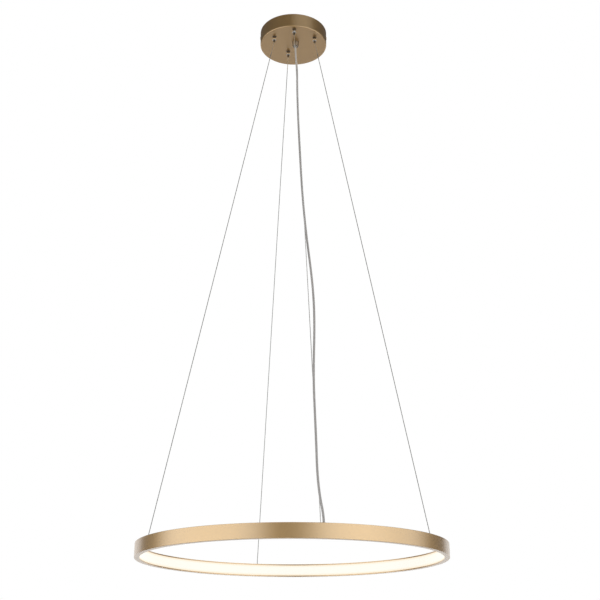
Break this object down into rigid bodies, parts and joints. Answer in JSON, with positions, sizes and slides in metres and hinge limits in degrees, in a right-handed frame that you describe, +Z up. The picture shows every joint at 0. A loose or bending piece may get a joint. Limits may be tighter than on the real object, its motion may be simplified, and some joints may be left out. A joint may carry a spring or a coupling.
{
  "type": "ring pendant light",
  "caption": "Round gold hoop with a glowing inner band, hung level on thin steel wires and a grey supply cable from a shallow round ceiling canopy.",
  "frame": {"origin": "on the canopy's axis in the ceiling plane, midway between the bracket's two screw slots", "axes": "+Z up into the ceiling, -Y towards the picture's viewer, +X to the viewer's right along the bracket's bar"},
  "size_m": [0.5999, 0.6, 1.2],
  "materials": {
    "gold_metal": "satin pearl gold paint",
    "zinc_steel": "bright zinc plate",
    "spring_steel": "drawn steel",
    "wire_steel": "stranded steel wire",
    "chrome": "polished",
    "brass": "plain",
    "raw_aluminium": "mill",
    "grey_cable": "clear sheath over tinned cores",
    "clear_bush": "natural nylon",
    "opal_diffuser": "opal satin",
    "white_board": "white solder mask",
    "led_phosphor": "clear over phosphor",
    "driver_plastic": "moulded",
    "green_board": "solder mask",
    "dark_parts": "moulded",
    "terminal_plastic": "moulded nylon",
    "brown_core": "insulation",
    "blue_core": "insulation",
    "white_core": "insulation"
  },
  "bodies": {
    "canopy": {"ceiling_bracket": "zinc_steel", "canopy_cup": "gold_metal", "canopy_screws": "gold_metal", "driver_case_base": "driver_plastic", "driver_case_lid": "driver_plastic", "driver_board": "green_board", "driver_components": "dark_parts", "driver_screws": "zinc_steel", "terminal_block": "terminal_plastic", "terminal_screws": "brass", "terminal_fixing_screw": "zinc_steel", "earth_screw": "brass", "earth_washer": "brass", "lead_live": "brown_core", "lead_neutral": "blue_core", "driver_lead": "grey_cable", "cord_grip_body": "gold_metal", "cord_grip_bush": "clear_bush", "cord_grip_screw": "clear_bush", "cord_grip_washer": "zinc_steel", "cord_grip_locknut": "zinc_steel", "gripper_housing_left": "chrome", "gripper_housing_near": "chrome", "gripper_housing_right": "chrome", "gripper_housing_far": "chrome", "gripper_caps": "chrome", "gripper_washers": "zinc_steel", "gripper_locknuts": "chrome", "suspension_wire_left": "wire_steel", "suspension_wire_near": "wire_steel", "suspension_wire_right": "wire_steel", "suspension_wire_far": "wire_steel", "power_cable": "grey_cable"},
    "release_left": {"gripper_plunger_left": "brass", "release_knob_left": "chrome", "gripper_balls_left": "chrome", "gripper_spring_left": "spring_steel"},
    "release_near": {"gripper_plunger_near": "brass", "release_knob_near": "chrome", "gripper_balls_near": "chrome", "gripper_spring_near": "spring_steel"},
    "release_right": {"gripper_plunger_right": "brass", "release_knob_right": "chrome", "gripper_balls_right": "chrome", "gripper_spring_right": "spring_steel"},
    "release_far": {"gripper_plunger_far": "brass", "release_knob_far": "chrome", "gripper_balls_far": "chrome", "gripper_spring_far": "spring_steel"},
    "ring": {"ring_profile": "gold_metal", "joiner_plates": "raw_aluminium", "joiner_screws": "zinc_steel", "led_strip": "white_board", "led_chips": "led_phosphor", "diffuser": "opal_diffuser", "wire_stops": "chrome", "cable_plug": "grey_cable", "ring_leads": "white_core"}
  },
  "joints": [
    {"name": "release_left", "type": "slide", "parent": "canopy", "child": "release_left", "axis": [0, 0, 1], "range_m": [0, 0.002], "stiffness_N_per_m": 800, "springref_m": -0.002, "deforming": ["gripper_spring_left"]},
    {"name": "release_near", "type": "slide", "parent": "canopy", "child": "release_near", "axis": [0, 0, 1], "range_m": [0, 0.002], "stiffness_N_per_m": 800, "springref_m": -0.002, "deforming": ["gripper_spring_near"]},
    {"name": "release_right", "type": "slide", "parent": "canopy", "child": "release_right", "axis": [0, 0, 1], "range_m": [0, 0.002], "stiffness_N_per_m": 800, "springref_m": -0.002, "deforming": ["gripper_spring_right"]},
    {"name": "release_far", "type": "slide", "parent": "canopy", "child": "release_far", "axis": [0, 0, 1], "range_m": [0, 0.002], "stiffness_N_per_m": 800, "springref_m": -0.002, "deforming": ["gripper_spring_far"]},
    {"name": "ring_height", "type": "slide", "parent": "canopy", "child": "ring", "axis": [0, 0, 1], "range_m": [0, 0.84], "deforming": ["suspension_wire_left", "suspension_wire_near", "suspension_wire_right", "suspension_wire_far", "power_cable"]}
  ]
}
